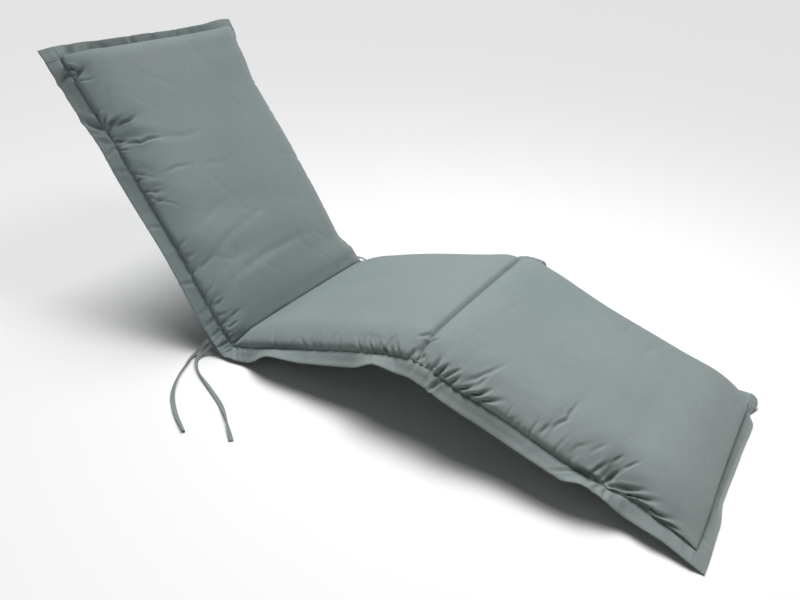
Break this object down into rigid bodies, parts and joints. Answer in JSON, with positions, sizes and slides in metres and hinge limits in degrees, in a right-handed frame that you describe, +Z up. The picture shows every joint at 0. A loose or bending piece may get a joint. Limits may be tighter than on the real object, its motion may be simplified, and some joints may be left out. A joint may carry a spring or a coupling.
{
  "type": "sun lounger cushion",
  "caption": "Long padded cushion for a sun lounger: back, seat and leg pads in one cover with a flat hem all round and tie tapes at the fold.",
  "frame": {"origin": "middle of the cushion's bounding box, at the level of the surface it stands on", "axes": "+X from the head end to the foot end, +Y across to the side away from the camera, +Z up"},
  "size_m": [1.3965, 0.8082, 0.5356],
  "materials": {
    "cover_cloth": "matte woven cloth, slate grey-green",
    "tie_tape": "matte woven tape, the cloth's colour"
  },
  "bodies": {
    "root": {"cushion": "cover_cloth", "near_tie_one": "tie_tape", "near_tie_two": "tie_tape", "far_tie_one": "tie_tape", "far_tie_two": "tie_tape"}
  },
  "joints": []
}
